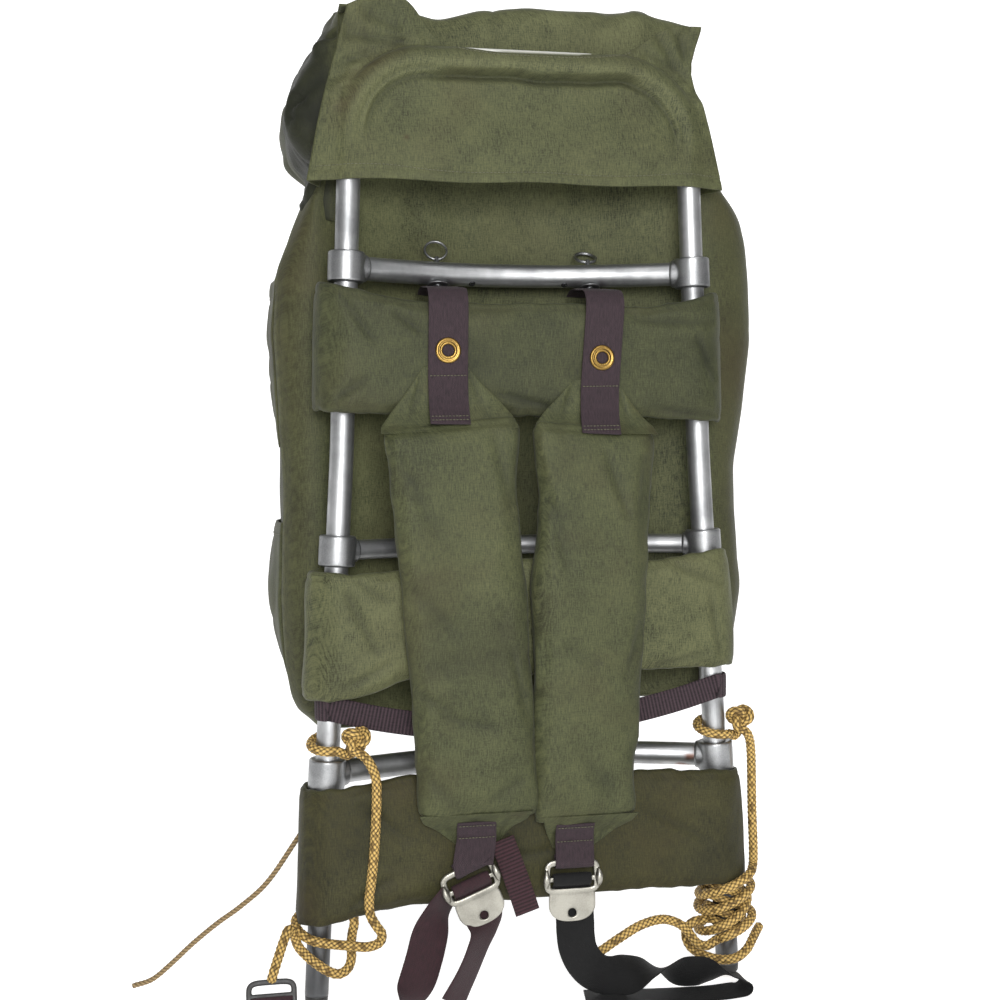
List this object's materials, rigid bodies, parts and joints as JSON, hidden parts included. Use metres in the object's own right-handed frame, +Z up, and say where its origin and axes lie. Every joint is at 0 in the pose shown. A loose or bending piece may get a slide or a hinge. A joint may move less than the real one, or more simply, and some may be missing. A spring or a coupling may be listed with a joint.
{
  "type": "external-frame backpack",
  "caption": "Olive cloth backpack on a bent aluminium tube frame, with padded bands, shoulder pads on webbing tabs, buckled adjuster straps and rope lashings.",
  "frame": {"origin": "middle of the line between the two upper couplings, where the frame is hung up", "axes": "+Z up along the frame, +Y from the harness towards the bag, +X to the right as seen from the harness side"},
  "size_m": [0.5382, 0.3043, 0.8259],
  "materials": {
    "aluminium": "drawn tube, dulled by wear",
    "dark_metal": "dull",
    "buckle_metal": "stamped, satin",
    "olive_cloth": "coated woven nylon",
    "hip_cloth": "coated woven nylon, soiled",
    "purple_webbing": "woven webbing",
    "black_webbing": "woven webbing",
    "black_plastic": "moulded, matt",
    "brass": "worn",
    "gold_rope": "braided, glossy fibres",
    "tan_cord": "twisted, matt"
  },
  "bodies": {
    "root": {"frame_hoop": "aluminium", "foot_cap_left": "dark_metal", "foot_cap_right": "dark_metal", "crossbar_upper": "aluminium", "coupling_upper_left": "aluminium", "coupling_upper_right": "aluminium", "crossbar_middle": "aluminium", "coupling_middle_left": "aluminium", "coupling_middle_right": "aluminium", "crossbar_lower": "aluminium", "coupling_lower_left": "aluminium", "coupling_lower_right": "aluminium", "back_band_upper": "olive_cloth", "back_band_middle": "olive_cloth", "hip_band": "hip_cloth", "shoulder_pad_left": "olive_cloth", "shoulder_pad_right": "olive_cloth", "strap_tab_upper_left": "purple_webbing", "strap_tab_upper_right": "purple_webbing", "grommet_left": "brass", "grommet_right": "brass", "hitch_washer_left": "aluminium", "hitch_washer_right": "aluminium", "hitch_pin_left": "aluminium", "hitch_pin_right": "aluminium", "split_ring_left": "dark_metal", "split_ring_right": "dark_metal", "buckle_left": "buckle_metal", "buckle_right": "buckle_metal", "strap_tab_lower_left": "purple_webbing", "strap_tab_lower_right": "purple_webbing", "adjuster_strap_left": "purple_webbing", "anchor_strap_left": "purple_webbing", "adjuster_strap_right": "black_webbing", "strap_tail_left": "purple_webbing", "strap_slide": "black_plastic", "frame_strap": "purple_webbing", "packbag_body": "olive_cloth", "pocket_upper_left": "olive_cloth", "pocket_lower_left": "olive_cloth", "pocket_upper_right": "olive_cloth", "pocket_lower_right": "olive_cloth", "top_sleeve": "olive_cloth", "top_lid": "olive_cloth", "rope_knot_left": "gold_rope", "rope_foot_left": "gold_rope", "rope_knot_right": "gold_rope", "rope_wraps_right": "gold_rope", "rope_run_left": "gold_rope", "rope_lash_left": "gold_rope", "rope_run_right": "gold_rope", "rope_tail_right": "gold_rope", "thin_cord": "tan_cord"}
  },
  "joints": []
}
